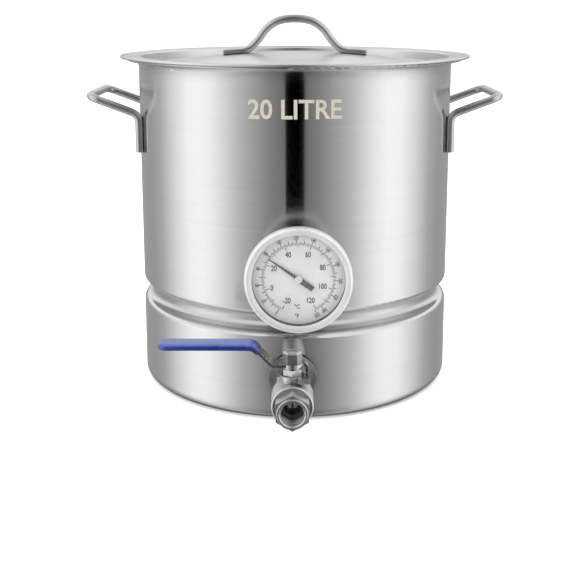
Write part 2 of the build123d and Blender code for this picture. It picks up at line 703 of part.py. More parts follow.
with BuildPart() as valve_lever:
    with BuildSketch(STEM_SIDE.offset(-LEVER_HUB_W / 2)) as lever_section:
        with BuildLine():
            FilletPolyline(*LEVER_LINE, radius=LEVER_BEND_R)
            offset(amount=LEVER_T / 2, side=Side.BOTH)
        make_face()
    extrude(amount=LEVER_HUB_W)
    with BuildSketch(STEM):
        Circle(LEVER_HUB_W / 2)
        with Locations((-LEVER_REACH / 2, 0)):
            Rectangle(LEVER_REACH, LEVER_ARM_W)
        with Locations((LEVER_TAIL_X / 2, 0)):
            Rectangle(LEVER_TAIL_X, LEVER_LUG_W)
    extrude(amount=STEM_TOP + LEVER_RISE, mode=Mode.INTERSECT)
    fillet(edges().filter_by(Axis.Z).group_by(Axis.X)[0], radius=LEVER_TIP_R)
    with BuildSketch(STEM.offset(LEVER_FROM)):
        Circle(STEM_THREAD_R)
        Rectangle(4 * STEM_THREAD_R, STEM_FLAT_W, mode=Mode.INTERSECT)
    extrude(amount=LEVER_T, mode=Mode.SUBTRACT)

with BuildPart() as lever_grip:
    with BuildSketch(STEM_SIDE.offset(-GRIP_W / 2)):
        with BuildLine():
            grip_tip = (-LEVER_REACH - GRIP_CLOSED, lever_high)
            FilletPolyline(*LEVER_LINE[2:4], grip_tip, radius=LEVER_BEND_R)
            offset(amount=GRIP_T / 2, side=Side.BOTH)
        make_face()
        with Locations((-GRIP_FROM_X, lever_low)):
            Rectangle(
                LEVER_RISE_X + LEVER_RUN,
                4 * LEVER_RISE,
                align=(Align.MIN, Align.CENTER),
                mode=Mode.SUBTRACT,
            )
    extrude(amount=GRIP_W)
    fillet(edges().filter_by(Axis.Z).group_by(Axis.X)[0], radius=GRIP_TIP_R)
    add(valve_lever.part, mode=Mode.SUBTRACT)

with BuildPart() as lever_washer:
    with BuildSketch(STEM.offset(LEVER_FROM - WASHER_T)):
        Circle(WASHER_R)
        Circle(STEM_R, mode=Mode.SUBTRACT)
    extrude(amount=WASHER_T)

with BuildPart() as lever_nut:
    with BuildSketch(STEM.offset(LEVER_FROM + LEVER_T)):
        hexagon(NUT_AF, rotation=0)
    extrude(amount=NUT_T)
    chamfer(faces().sort_by(Axis.Z)[-1].edges(), length=NUT_TOP_CHAMFER)
    with BuildSketch(STEM.offset(LEVER_FROM + LEVER_T)):
        Circle(STEM_THREAD_R)
    extrude(amount=NUT_T, mode=Mode.SUBTRACT)

# ======== false bottom ========

with BuildPart() as screen_ring:
    with BuildSketch(Plane.XZ):
        with Locations((RING_R, SCREEN_Z)):
            Circle(RING_ROD)
    revolve(axis=Axis.Z)

with BuildPart() as screen_mesh:
    with BuildSketch(Plane.XY.offset(SCREEN_Z - SCREEN_T / 2)):
        Circle(RING_R - RING_ROD - WELD_GAP)
    extrude(amount=SCREEN_T)

with BuildPart() as clip_right:
    mesh_top = SCREEN_Z + SCREEN_T / 2
    # eye that the bail turns in, on a foot that lies on the mesh
    with BuildSketch(Plane.YZ.offset(CLIP_FROM_X)):
        with Locations((0, BAIL_Z)):
            Circle(BAIL_ROD + GAP + CLIP_WALL)
        with Locations((0, mesh_top)):
            Rectangle(CLIP_FOOT_W, CLIP_WALL, align=(Align.CENTER, Align.MIN))
            Rectangle(
                CLIP_FOOT_W, CLIP_FOOT_W, align=(Align.CENTER, Align.MAX), mode=Mode.SUBTRACT
            )
        with Locations((0, BAIL_Z)):
            Circle(BAIL_ROD + GAP, mode=Mode.SUBTRACT)
    extrude(amount=CLIP_TO_X - CLIP_FROM_X)
    # hook over the rim wire
    with BuildSketch(Plane.XZ.offset(-CLIP_FOOT_W / 2)):
        with Locations((RING_R, SCREEN_Z)):
            Circle(CLIP_HOOK_R + CLIP_WALL)
            Circle(CLIP_HOOK_R, mode=Mode.SUBTRACT)
        with Locations((RING_R, mesh_top)):
            Rectangle(
                CLIP_FOOT_W, CLIP_FOOT_W, align=(Align.CENTER, Align.MAX), mode=Mode.SUBTRACT
            )
    extrude(amount=CLIP_FOOT_W)

with BuildPart() as clip_left:
    add(clip_right.part)
    mirror(about=Plane.YZ, mode=Mode.REPLACE)

with BuildPart() as screen_bail:
    with BuildLine(Plane.XY.offset(BAIL_Z)) as bail_path:
        bend = (BAIL_R + BAIL_CORNER_R, 0)
        rise = (BAIL_R, BAIL_CORNER_R)
        Line((BAIL_STUB_X, 0), bend)
        RadiusArc(bend, rise, BAIL_CORNER_R)
        ThreePointArc(rise, (0, BAIL_CORNER_R + BAIL_R), (-BAIL_R, BAIL_CORNER_R))
        RadiusArc((-BAIL_R, BAIL_CORNER_R), (-bend[0], 0), BAIL_CORNER_R)
        Line((-bend[0], 0), (-BAIL_STUB_X, 0))
    with BuildSketch(Plane(origin=bail_path.line @ 0, z_dir=bail_path.line % 0)):
        Circle(BAIL_ROD)
    sweep(path=bail_path.line)

# ======== filter tube ========

with BuildPart() as filter_coupling:
    with BuildSketch(BULK_FACE.offset(-FILTER_HEX_TO)):
        hexagon(FILTER_HEX_AF, rotation=0)
    extrude(amount=FILTER_HEX_TO - FILTER_HEX_FROM)
    chamfer(faces().filter_by(Axis.Y).edges(), length=NUT_CHAMFER)
    with BuildSketch(BULK_HALF):
        ring_profile(0, BULK_THREAD_R, -BULK_IN, -FILTER_HEX_FROM)
        ring_profile(0, BORE_R, -FILTER_HEX_TO, -BULK_IN)
    revolve(axis=BULK_AXIS, mode=Mode.SUBTRACT)

with BuildPart() as filter_collar:
    with BuildSketch(BULK_HALF):
        ring_profile(FILTER_R, FILTER_COLLAR_R, -FILTER_COLLAR_TO, -FILTER_HEX_TO)
        ring_profile(BORE_R, FILTER_R, -FILTER_HEX_TO - FILTER_LIP, -FILTER_HEX_TO)
    revolve(axis=BULK_AXIS)

with BuildPart() as filter_tube:
    with BuildSketch(BULK_FACE.offset(-FILTER_HEX_TO - FILTER_LIP)):
        Circle(FILTER_R)
    extrude(amount=-(FILTER_ROUND_TO - FILTER_HEX_TO - FILTER_LIP))
    with BuildSketch(BULK_FACE.offset(-FILTER_ROUND_TO)):
        Circle(FILTER_R)
    with BuildSketch(BULK_FACE.offset(-FILTER_END)):
        Ellipse(FILTER_END_HALF_W, FILTER_END_HALF_T)
    loft()
    with BuildSketch(BULK_FACE.offset(-FILTER_HEX_TO - FILTER_LIP)):
        Circle(FILTER_R - FILTER_WALL)
    extrude(amount=-(FILTER_ROUND_TO - FILTER_HEX_TO - FILTER_LIP), mode=Mode.SUBTRACT)
    with BuildSketch(BULK_FACE.offset(-FILTER_ROUND_TO)):
        Circle(FILTER_R - FILTER_WALL)
    with BuildSketch(BULK_FACE.offset(-FILTER_END)):
        Ellipse(FILTER_END_HALF_W - FILTER_WALL, FILTER_END_HALF_T - FILTER_WALL)
    loft(mode=Mode.SUBTRACT)

with BuildPart() as filter_crimp:
    with BuildSketch(BULK_FACE.offset(-FILTER_END - CRIMP_PAST)):
        RectangleRounded(2 * CRIMP_HALF_W, 2 * CRIMP_HALF_T, CRIMP_ROUND)
    extrude(amount=CRIMP_LONG)
    with BuildSketch(BULK_FACE.offset(-FILTER_ROUND_TO)):
        Circle(FILTER_R)
    with BuildSketch(BULK_FACE.offset(-FILTER_END)):
        Ellipse(FILTER_END_HALF_W, FILTER_END_HALF_T)
    loft(mode=Mode.SUBTRACT)

# ======== export ========

PIECES = {
    "pot_shell": pot_shell,
    "handle_left": handle_left,
    "handle_right": handle_right,
    "lid_shell": lid_shell,
    "lid_handle": lid_handle,
    "thermometer_case": thermometer_case,
    "thermometer_bezel": thermometer_bezel,
    "thermometer_window": thermometer_window,
    "thermometer_gasket": thermometer_gasket,
    "thermometer_dial": thermometer_dial,
    "thermometer_fitting": thermometer_fitting,
    "thermometer_probe": thermometer_probe,
    "thermometer_seal_outer": thermometer_seal_outer,
    "thermometer_seal_inner": thermometer_seal_inner,
    "thermometer_washer": thermometer_washer,
    "thermometer_locknut": thermometer_locknut,
    "pointer_needle": pointer_needle,
    "pointer_cap": pointer_cap,
    "pointer_spindle": pointer_spindle,
    "bulkhead_nipple": bulkhead_nipple,
    "bulkhead_washer_outer": bulkhead_washer_outer,
    "bulkhead_seal_outer": bulkhead_seal_outer,
    "bulkhead_seal_inner": bulkhead_seal_inner,
    "bulkhead_washer_inner": bulkhead_washer_inner,
    "bulkhead_locknut": bulkhead_locknut,
    "valve_body": valve_body,
    "valve_end_cap": valve_end_cap,
    "valve_seats": valve_seats,
    "valve_packing": valve_packing,
    "valve_gland_nut": valve_gland_nut,
    "valve_ball": valve_ball,
    "valve_stem": valve_stem,
    "valve_lever": valve_lever,
    "lever_grip": lever_grip,
    "lever_washer": lever_washer,
    "lever_nut": lever_nut,
    "screen_mesh": screen_mesh,
    "screen_ring": screen_ring,
    "clip_right": clip_right,
    "clip_left": clip_left,
    "screen_bail": screen_bail,
    "filter_coupling": filter_coupling,
    "filter_collar": filter_collar,
    "filter_tube": filter_tube,
    "filter_crimp": filter_crimp,
}

os.makedirs("parts", exist_ok=True)
for name, piece in PIECES.items():
    piece.part.label = name
    export_step(piece.part, f"parts/{name}.step")
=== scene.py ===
"""Looks of the brewing kettle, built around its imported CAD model.

Metres, in the CAD's own frame: the origin is on the pot's axis under its base, +Z is up and the
fittings face -Y. Sizes given in millimetres are turned into metres by MM.
"""

import math

import bpy
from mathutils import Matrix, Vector


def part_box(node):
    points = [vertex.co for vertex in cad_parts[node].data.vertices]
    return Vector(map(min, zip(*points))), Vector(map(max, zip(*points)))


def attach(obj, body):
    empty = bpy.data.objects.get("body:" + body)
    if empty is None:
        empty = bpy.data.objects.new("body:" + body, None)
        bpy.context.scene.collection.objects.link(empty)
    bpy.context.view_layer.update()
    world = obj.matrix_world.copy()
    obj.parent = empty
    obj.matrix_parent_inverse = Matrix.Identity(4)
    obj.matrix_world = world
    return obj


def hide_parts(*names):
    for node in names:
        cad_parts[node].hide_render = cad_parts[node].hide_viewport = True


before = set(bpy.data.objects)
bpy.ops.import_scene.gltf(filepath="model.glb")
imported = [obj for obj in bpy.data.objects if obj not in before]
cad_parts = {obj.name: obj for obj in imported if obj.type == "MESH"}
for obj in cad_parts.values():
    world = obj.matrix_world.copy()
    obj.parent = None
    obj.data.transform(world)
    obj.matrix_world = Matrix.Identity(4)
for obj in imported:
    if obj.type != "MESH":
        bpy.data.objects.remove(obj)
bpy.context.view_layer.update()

MM = 0.001
UP = Vector((0, 0, 1))
SIDEWAYS = Vector((0, 1, 0))


# ======== places read from the CAD ========


def middle(node):
    """The middle of a CAD node's box."""
    low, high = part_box(node)
    return (low + high) / 2


dial_centre = middle("thermometer_dial")
dial_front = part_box("thermometer_dial")[0].y
valve_centre = middle("valve_end_cap")
outlet_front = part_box("valve_end_cap")[0].y
stem_centre = middle("valve_stem")
lid_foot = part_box("lid_shell")[0].z
handle_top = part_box("lid_handle")[1].z
washer_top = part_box("lever_washer")[1].z
stub_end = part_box("thermometer_fitting")[1].y


# ======== shader nodes ========


def add_node(tree, kind, inputs=None, **settings):
    """Adds a shader node; inputs takes a value or another node's output for each named socket."""
    made = tree.nodes.new(kind)
    for name, value in settings.items():
        setattr(made, name, value)
    for name, value in (inputs or {}).items():
        if isinstance(value, bpy.types.NodeSocket):
            tree.links.new(value, made.inputs[name])
        else:
            made.inputs[name].default_value = value
    return made


def math_node(tree, operation, *values):
    """The output of a Math node."""
    inputs = dict(enumerate(values))
    return add_node(tree, "ShaderNodeMath", inputs, operation=operation).outputs[0]


def vector_node(tree, operation, *values):
    """The output of a Vector Math node."""
    inputs = dict(enumerate(values))
    made = add_node(tree, "ShaderNodeVectorMath", inputs, operation=operation)
    return made.outputs["Value" if operation == "LENGTH" else "Vector"]


def scaled_vector(tree, vector, amount):
    """A vector or colour made longer or brighter by a value or by another node's output."""
    inputs = {0: vector, 3: amount}
    return add_node(tree, "ShaderNodeVectorMath", inputs, operation="SCALE").outputs["Vector"]


def dot(tree, first, second):
    """How far one vector reaches along another."""
    inputs = {0: first, 1: second}
    return add_node(tree, "ShaderNodeVectorMath", inputs, operation="DOT_PRODUCT").outputs["Value"]


def noise(tree, vector, scale=1.0, detail=3.0, rough=0.55):
    """A noise value around 0.5."""
    inputs = {"Vector": vector, "Scale": scale, "Detail": detail, "Roughness": rough}
    return add_node(tree, "ShaderNodeTexNoise", inputs).outputs[0]


def span(tree, value, low, high, to_low, to_high, smooth=False):
    """A value moved from one range to another, and held at its ends."""
    inputs = {0: value, 1: low, 2: high, 3: to_low, 4: to_high}
    kind = "SMOOTHSTEP" if smooth else "LINEAR"
    made = add_node(tree, "ShaderNodeMapRange", inputs, interpolation_type=kind)
    return made.outputs[0]


def object_place(tree):
    """The place of a point in its body's frame, in metres."""
    return add_node(tree, "ShaderNodeTexCoord").outputs["Object"]


def turned_grain(tree, centre, axis, across, along):
    """Coordinates for marks that run round an axis: stretched round it, fine along it and outwards."""
    place = vector_node(tree, "SUBTRACT", object_place(tree), tuple(centre))
    flat = tuple(0.0 if i == axis else 1.0 for i in range(3))
    line = tuple(1.0 if i == axis else 0.0 for i in range(3))
    outward = vector_node(tree, "MULTIPLY", place, flat)
    radius = vector_node(tree, "LENGTH", outward)
    depth = math_node(tree, "ADD", dot(tree, place, line), math_node(tree, "MULTIPLY", radius, 1.3))
    fine = math_node(tree, "MULTIPLY", depth, along)
    stretched = scaled_vector(tree, outward, across)
    return vector_node(tree, "ADD", stretched, scaled_vector(tree, line, fine))


def new_finish(name):
    """An empty Principled material: the material, its tree and its shader."""
    made = bpy.data.materials.new(name)
    made.use_nodes = True
    tree = made.node_tree
    return made, tree, tree.nodes["Principled BSDF"]


def tinted(tree, value, low, high, dark, light):
    """A colour between two, by a value."""
    share = span(tree, value, low, high, 0.0, 1.0)
    inputs = {0: share, 6: (*dark, 1.0), 7: (*light, 1.0)}
    return add_node(tree, "ShaderNodeMix", inputs, data_type="RGBA").outputs[2]


def scaled(colour, amount):
    """A colour made lighter or darker."""
    return tuple(min(1.0, part * amount) for part in colour)


NOISE_SPAN = (0.3, 0.7)  # where nearly all of a noise's values lie
STEEL = (0.72, 0.72, 0.715)
# how far the painted shade in hollows reaches, and the openness over which it fades in
HOLLOW_REACH = 14 * MM
HOLLOW_OPENNESS = (0.25, 0.92)
POT_AXIS = (0.0, 0.0, 0.0)
Z_AXIS = 2
Y_AXIS = 1
FLARE_BAND = (-8 * MM, 2 * MM)  # where the wall turns duller, from the lid's foot
FLARE_ROUGHER = 0.07
WORN_EDGE = (0.99, 0.90)  # how far the softened normal leans away where an edge is worn


def dull_hollows(tree, colour, hollow_shade):
    """A colour with painted shade: darker where other surfaces stand close by."""
    openness = add_node(tree, "ShaderNodeAmbientOcclusion", {"Distance": HOLLOW_REACH}, samples=6)
    shade = span(tree, openness.outputs["AO"], *HOLLOW_OPENNESS, 1.0 - hollow_shade, 1.0)
    return scaled_vector(tree, colour, shade)


def lay_relief(tree, shader, height, strength, depth, under=None):
    """Fine relief on a surface, over an optional softened normal."""
    inputs = {"Height": height, "Strength": strength, "Distance": depth}
    if under:
        inputs["Normal"] = under
    bump = add_node(tree, "ShaderNodeBump", inputs)
    tree.links.new(bump.outputs[0], shader.inputs["Normal"])


def softened(tree, radius):
    """The surface's normal, rounded near its edges."""
    return add_node(tree, "ShaderNodeBevel", {"Radius": radius}, samples=4).outputs[0]


def facing_way(tree):
    """The way that the surface faces."""
    return add_node(tree, "ShaderNodeNewGeometry").outputs["Normal"]


def brushed_steel(name, roughness, stretch, relief, streaking, hollow_shade, tone=1.0):
    """Spun sheet with marks that run round the pot's axis and a highlight drawn out across them."""
    made, tree, shader = new_finish(name)
    hairlines = noise(tree, turned_grain(tree, POT_AXIS, Z_AXIS, 9.0, 2600.0), detail=2.0)
    bands = noise(tree, turned_grain(tree, POT_AXIS, Z_AXIS, 4.0, 240.0), detail=4.0)
    clouds = noise(tree, object_place(tree), scale=9.0, detail=4.0)
    scratches = noise(tree, turned_grain(tree, POT_AXIS, Z_AXIS, 60.0, 1500.0), detail=1.0)
    marks = math_node(tree, "ADD", math_node(tree, "MULTIPLY", hairlines, 0.5), bands)
    colour = tinted(tree, marks, 0.45, 1.05, scaled(STEEL, 0.975 * tone), scaled(STEEL, 1.02 * tone))
    # painted shade: the colour darkens where other surfaces stand close by
    tree.links.new(dull_hollows(tree, colour, hollow_shade), shader.inputs["Base Color"])
    worn = span(tree, clouds, *NOISE_SPAN, roughness - 0.01, roughness + 0.015)
    streaks = span(tree, bands, *NOISE_SPAN, -streaking, streaking)
    nicks = span(tree, scratches, 0.70, 0.80, 0.0, 0.03)
    uneven = math_node(tree, "ADD", math_node(tree, "ADD", worn, streaks), nicks)
    level = add_node(tree, "ShaderNodeSeparateXYZ", {0: object_place(tree)}).outputs[2]
    flare_from, flare_to = (lid_foot + offset for offset in FLARE_BAND)
    flared = span(tree, level, flare_from, flare_to, 0.0, FLARE_ROUGHER)
    tree.links.new(math_node(tree, "ADD", uneven, flared), shader.inputs["Roughness"])
    lay_relief(tree, shader, hairlines, relief, 0.02 * MM)
    tangent = add_node(tree, "ShaderNodeTangent", direction_type="RADIAL", axis="Z")
    tree.links.new(tangent.outputs[0], shader.inputs["Tangent"])
    shader.inputs["Metallic"].default_value = 1.0
    shader.inputs["Anisotropic"].default_value = stretch
    shader.inputs["Anisotropic Rotation"].default_value = 0.25
    return made


def worked_steel(
    name, centre, axis, roughness, tone=1.0, grain=0.35, pitting=0.0, edge=0.3, hollow_shade=0.0
):
    """Turned, drawn or cast steel: tool marks round an axis, edges worn bright, painted shade in
    hollows.
    """
    made, tree, shader = new_finish(name)
    tool = noise(tree, turned_grain(tree, centre, axis, 40.0, 3200.0), detail=2.0)
    blotches = noise(tree, object_place(tree), scale=70.0, detail=4.0)
    grit = noise(tree, object_place(tree), scale=1400.0, detail=3.0)
    soft = softened(tree, edge * MM)
    edges = span(tree, dot(tree, soft, facing_way(tree)), *WORN_EDGE, 0.0, 1.0)
    marks = math_node(tree, "ADD", math_node(tree, "MULTIPLY", tool, 0.4), blotches)
    colour = tinted(tree, marks, 0.4, 1.0, scaled(STEEL, 0.88 * tone), scaled(STEEL, 1.05 * tone))
    bright = (*scaled(STEEL, 1.2 * tone), 1.0)
    worn = add_node(tree, "ShaderNodeMix", {0: edges, 6: colour, 7: bright}, data_type="RGBA")
    # painted shade: the colour darkens where other surfaces stand close by
    tree.links.new(dull_hollows(tree, worn.outputs[2], hollow_shade), shader.inputs["Base Color"])
    uneven = span(tree, blotches, *NOISE_SPAN, roughness - 0.04, roughness + 0.06)
    rubbed = math_node(tree, "SUBTRACT", uneven, math_node(tree, "MULTIPLY", edges, 0.08))
    tree.links.new(rubbed, shader.inputs["Roughness"])
    grooves = math_node(tree, "MULTIPLY", tool, grain)
    height = math_node(tree, "ADD", grooves, math_node(tree, "MULTIPLY", grit, pitting))
    lay_relief(tree, shader, height, 0.5, 0.03 * MM, soft)
    shader.inputs["Metallic"].default_value = 1.0
    return made


def moulded(name, dark, light, roughness, speckle_scale, relief, coat=0.0, edge=0.2, top_sheen=0.0):
    """Paint, plastic or rubber: a mottled colour with a fine skin, and a painted sheen that can lighten
    its upward faces.
    """
    made, tree, shader = new_finish(name)
    speckle = noise(tree, object_place(tree), scale=speckle_scale, detail=4.0)
    clouds = noise(tree, object_place(tree), scale=60.0, detail=3.0)
    mixed = math_node(tree, "ADD", math_node(tree, "MULTIPLY", speckle, 0.6), clouds)
    # painted sheen: faces that look up are made lighter, as if lit from above
    upward = add_node(tree, "ShaderNodeSeparateXYZ", {0: facing_way(tree)}).outputs[2]
    sheened = math_node(tree, "ADD", mixed, span(tree, upward, 0.2, 0.9, -top_sheen, top_sheen))
    tree.links.new(tinted(tree, sheened, 0.55, 1.05, dark, light), shader.inputs["Base Color"])
    uneven = span(tree, clouds, *NOISE_SPAN, roughness - 0.05, roughness + 0.05)
    tree.links.new(uneven, shader.inputs["Roughness"])
    lay_relief(tree, shader, speckle, relief, 0.05 * MM, softened(tree, edge * MM))
    shader.inputs["Coat Weight"].default_value = coat
    shader.inputs["Coat Roughness"].default_value = 0.12
    return made


def clear_glass(name):
    """Flat window glass with a faint uneven film."""
    made, tree, shader = new_finish(name)
    film = noise(tree, object_place(tree), scale=120.0, detail=4.0)
    tree.links.new(span(tree, film, *NOISE_SPAN, 0.02, 0.08), shader.inputs["Roughness"])
    tint = tinted(tree, film, *NOISE_SPAN, (0.86, 0.90, 0.90), (0.94, 0.97, 0.97))
    tree.links.new(tint, shader.inputs["Base Color"])
    shader.inputs["Alpha"].default_value = 0.035
    shader.inputs["IOR"].default_value = 1.5
    return made


def satin_white_steel(name, centre):
    """The bezel's pale satin ring, brushed round the dial's axis."""
    made, tree, shader = new_finish(name)
    tool = noise(tree, turned_grain(tree, centre, Y_AXIS, 30.0, 2400.0), detail=2.0)
    clouds = noise(tree, object_place(tree), scale=50.0, detail=3.0)
    marks = math_node(tree, "ADD", math_node(tree, "MULTIPLY", tool, 0.6), clouds)
    tint = tinted(tree, marks, 0.5, 1.1, (0.66, 0.66, 0.66), (0.76, 0.76, 0.755))
    tree.links.new(tint, shader.inputs["Base Color"])
    tree.links.new(span(tree, clouds, *NOISE_SPAN, 0.30, 0.40), shader.inputs["Roughness"])
    lay_relief(tree, shader, tool, 0.3, 0.02 * MM, softened(tree, 0.3 * MM))
    shader.inputs["Metallic"].default_value = 0.5
    return made


# ======== finishes ========
DIAL_AXIS_AT = (dial_centre.x, 0.0, dial_centre.z)
VALVE_AXIS_AT = (valve_centre.x, 0.0, valve_centre.z)
STEM_AXIS_AT = (stem_centre.x, stem_centre.y, 0.0)

# the shade amounts given to these finishes darken their hollows with painted shade
pot_steel = brushed_steel("pot_brushed_steel", 0.145, 1.0, 0.08, 0.008, 0.60)
lid_steel = brushed_steel("lid_spun_steel", 0.22, 0.35, 0.35, 0.035, 0.35, tone=1.06)
handle_steel = worked_steel("handle_rod_steel", POT_AXIS, Y_AXIS, 0.30, tone=0.90, grain=0.25)
dial_turned_steel = worked_steel("dial_turned_steel", DIAL_AXIS_AT, Y_AXIS, 0.22)
valve_turned_steel = worked_steel(
    "valve_turned_steel", VALVE_AXIS_AT, Y_AXIS, 0.32, tone=0.95, hollow_shade=0.5
)
washer_steel = worked_steel("washer_satin_steel", VALVE_AXIS_AT, Y_AXIS, 0.34, tone=0.85)
nut_steel = worked_steel("nut_steel", STEM_AXIS_AT, Z_AXIS, 0.34, tone=0.96, hollow_shade=0.4)
stem_turned_steel = worked_steel(
    "stem_turned_steel", STEM_AXIS_AT, Z_AXIS, 0.16, tone=0.88, hollow_shade=0.6
)
cast_steel = worked_steel(
    "valve_cast_steel",
    VALVE_AXIS_AT,
    Y_AXIS,
    0.33,
    tone=1.04,
    grain=0.15,
    pitting=1.3,
    edge=0.5,
    hollow_shade=0.7,
)
lever_steel = worked_steel(
    "lever_plate_steel", STEM_AXIS_AT, Z_AXIS, 0.24, tone=0.92, grain=0.15, pitting=0.3, hollow_shade=0.5
)
ball_steel = worked_steel("ball_polished_steel", VALVE_AXIS_AT, Y_AXIS, 0.10, tone=1.1, grain=0.05)
wire_steel = worked_steel("wire_steel", POT_AXIS, Z_AXIS, 0.24, grain=0.1, edge=0.05)
bezel_steel = satin_white_steel("bezel_satin_steel", DIAL_AXIS_AT)
dial_white = moulded("dial_enamel", (0.45, 0.45, 0.447), (0.52, 0.52, 0.516), 0.50, 900.0, 0.08)
window_glass = clear_glass("window_glass")
dial_ink = moulded("dial_ink", (0.015, 0.015, 0.017), (0.03, 0.03, 0.032), 0.55, 1500.0, 0.05)
needle_grey = moulded("needle_enamel", (0.02, 0.02, 0.022), (0.04, 0.04, 0.043), 0.45, 800.0, 0.1)
seal_orange = moulded("seal_silicone", (0.62, 0.10, 0.025), (0.80, 0.16, 0.04), 0.45, 500.0, 0.15)
gasket_black = moulded("gasket_rubber", (0.012, 0.012, 0.012), (0.03, 0.03, 0.03), 0.6, 500.0, 0.3)
ptfe_white = moulded("seat_plastic", (0.78, 0.78, 0.76), (0.88, 0.88, 0.86), 0.35, 400.0, 0.1)
print_beige = moulded("print_ink", (0.37, 0.345, 0.275), (0.44, 0.41, 0.335), 0.5, 1200.0, 0.05)
# the grip's lighter top is a painted sheen
grip_blue = moulded(
    "grip_dipped_vinyl",
    (0.004, 0.014, 0.12),
    (0.026, 0.062, 0.30),
    0.30,
    700.0,
    0.10,
    coat=1.0,
    top_sheen=0.22,
)

FINISHES = {
    pot_steel: ("pot_shell",),
    lid_steel: ("lid_shell",),
    handle_steel: ("handle_left", "handle_right", "lid_handle"),
    dial_turned_steel: (
        "thermometer_case",
        "thermometer_fitting",
        "thermometer_probe",
        "thermometer_washer",
        "thermometer_locknut",
        "pointer_spindle",
    ),
    valve_turned_steel: (
        "bulkhead_nipple",
        "bulkhead_washer_inner",
        "bulkhead_locknut",
        "filter_coupling",
        "filter_collar",
        "filter_crimp",
    ),
    washer_steel: ("bulkhead_washer_outer",),
    stem_turned_steel: ("valve_gland_nut", "valve_stem", "lever_washer"),
    nut_steel: ("lever_nut",),
    cast_steel: ("valve_body", "valve_end_cap"),
    lever_steel: ("valve_lever",),
    ball_steel: ("valve_ball",),
    wire_steel: ("screen_mesh", "screen_ring", "screen_bail", "clip_right", "clip_left", "filter_tube"),
    bezel_steel: ("thermometer_bezel", "pointer_cap"),
    dial_white: ("thermometer_dial",),
    window_glass: ("thermometer_window",),
    needle_grey: ("pointer_needle",),
    seal_orange: (
        "thermometer_seal_outer",
        "thermometer_seal_inner",
        "bulkhead_seal_outer",
        "bulkhead_seal_inner",
    ),
    gasket_black: ("thermometer_gasket",),
    ptfe_white: ("valve_seats", "valve_packing"),
    grip_blue: ("lever_grip",),
}
for finish, names in FINISHES.items():
    for name in names:
        for material_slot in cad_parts[name].material_slots:
            material_slot.material = finish


# ======== mesh pieces ========


def piece(name, vertices, faces, finish, body, stands_for=(), smooth=True):
    """A mesh that rides on a body."""
    mesh = bpy.data.meshes.new(name)
    mesh.from_pydata([tuple(v) for v in vertices], [], faces)
    mesh.validate()
    mesh.update()
    mesh.polygons.foreach_set("use_smooth", [smooth] * len(mesh.polygons))
    mesh.materials.append(finish)
    made = bpy.data.objects.new(name, mesh)
    bpy.context.scene.collection.objects.link(made)
    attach(made, body)
    if stands_for:
        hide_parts(*stands_for)
    return made


def join(parts):
    """Several (vertices, faces) as one."""
    vertices, faces = [], []
    for more_vertices, more_faces in parts:
        start = len(vertices)
        vertices.extend(more_vertices)
        faces.extend(tuple(start + i for i in face) for face in more_faces)
    return vertices, faces


def skin(rings, closed=False):
    """A skin over rings with equal numbers of points; unless it is closed, its ends are capped."""
    count = len(rings[0])
    vertices = [point for ring in rings for point in ring]
    faces = []
    for i in range(len(rings) if closed else len(rings) - 1):
        here = i * count
        there = (i + 1) % len(rings) * count
        for k in range(count):
            after = (k + 1) % count
            faces.append((here + k, here + after, there + after, there + k))
    if not closed:
        faces.append(tuple(reversed(range(count))))
        faces.append(tuple(range(len(vertices) - count, len(vertices))))
    return vertices, faces


def smooth_route(points, steps):
    """Points along a smooth curve through the given ones."""
    ends = [2 * points[0] - points[1], *points, 2 * points[-1] - points[-2]]
    route = []
    for a, b, c, d in zip(ends, ends[1:], ends[2:], ends[3:]):
        for i in range(steps):
            t = i / steps
            route.append(
                0.5
                * (
                    2 * b
                    + (c - a) * t
                    + (2 * a - 5 * b + 4 * c - d) * t**2
                    + (3 * b - a - 3 * c + d) * t**3
                )
            )
    return [*route, points[-1]]


def rounded_ring(centre, wide, thick, power, count):
    """A ring round a centre: wide and thick are its half axes, and power squares its corners."""
    ring = []
    for k in range(count):
        turn = math.tau * k / count
        c, s = math.cos(turn), math.sin(turn)
        u = math.copysign(abs(c) ** (2 / power), c)
        v = math.copysign(abs(s) ** (2 / power), s)
        ring.append(centre + u * wide + v * thick)
    return ring


def directions(route, closed=False):
    """The direction of travel at each point of a route."""
    count = len(route)
    found = []
    for i in range(count):
        before = route[i - 1] if closed or i else route[0]
        after = route[(i + 1) % count] if closed or i < count - 1 else route[-1]
        found.append((after - before).normalized())
    return found


def wire(route, radius, sides, up=UP, closed=False):
    """A round wire along a route."""
    rings = []
    for point, ahead in zip(route, directions(route, closed)):
        across = ahead.cross(up).normalized() * radius
        rings.append(rounded_ring(point, across, across.cross(ahead), 2.0, sides))
    return skin(rings, closed)


def ease(value, low, high):
    """0 below low, 1 above high and a smooth step between."""
    t = min(1.0, max(0.0, (value - low) / (high - low)))
    return t * t * (3 - 2 * t)


# ---- lid handle: a rod whose two flattened feet lie on the dome ----
ROD_R = 3.9 * MM
FOOT_HALF_W = 4.8 * MM
FOOT_HALF_T = 2.6 * MM
ANKLE = (42 * MM, 51 * MM)
ROD_SIDES = 32
ROD_POWER = 2.0  # a round section; a higher power squares it
FOOT_POWER = 3.6
TOE_LENGTH = 0.4 * MM
TOE_SHARE = 0.86
# Middle line of the left half: distance from the lid's axis, and drop from the top.
HANDLE_RISE = (
    (-70.0, 32.4),
    (-60.0, 31.5),
    (-51.0, 30.9),
    (-44.5, 28.9),
    (-36.0, 20.7),
    (-28.0, 10.2),
    (-18.6, 3.3),
    (-9.0, 0.6),
    (0.0, 0.0),
)


def worn_toe(ring, outward):
    """The drawn-in ring that rounds off the end of a foot."""
    centre = sum(ring, Vector()) / len(ring)
    return [centre + (point - centre) * TOE_SHARE + outward * TOE_LENGTH for point in ring]


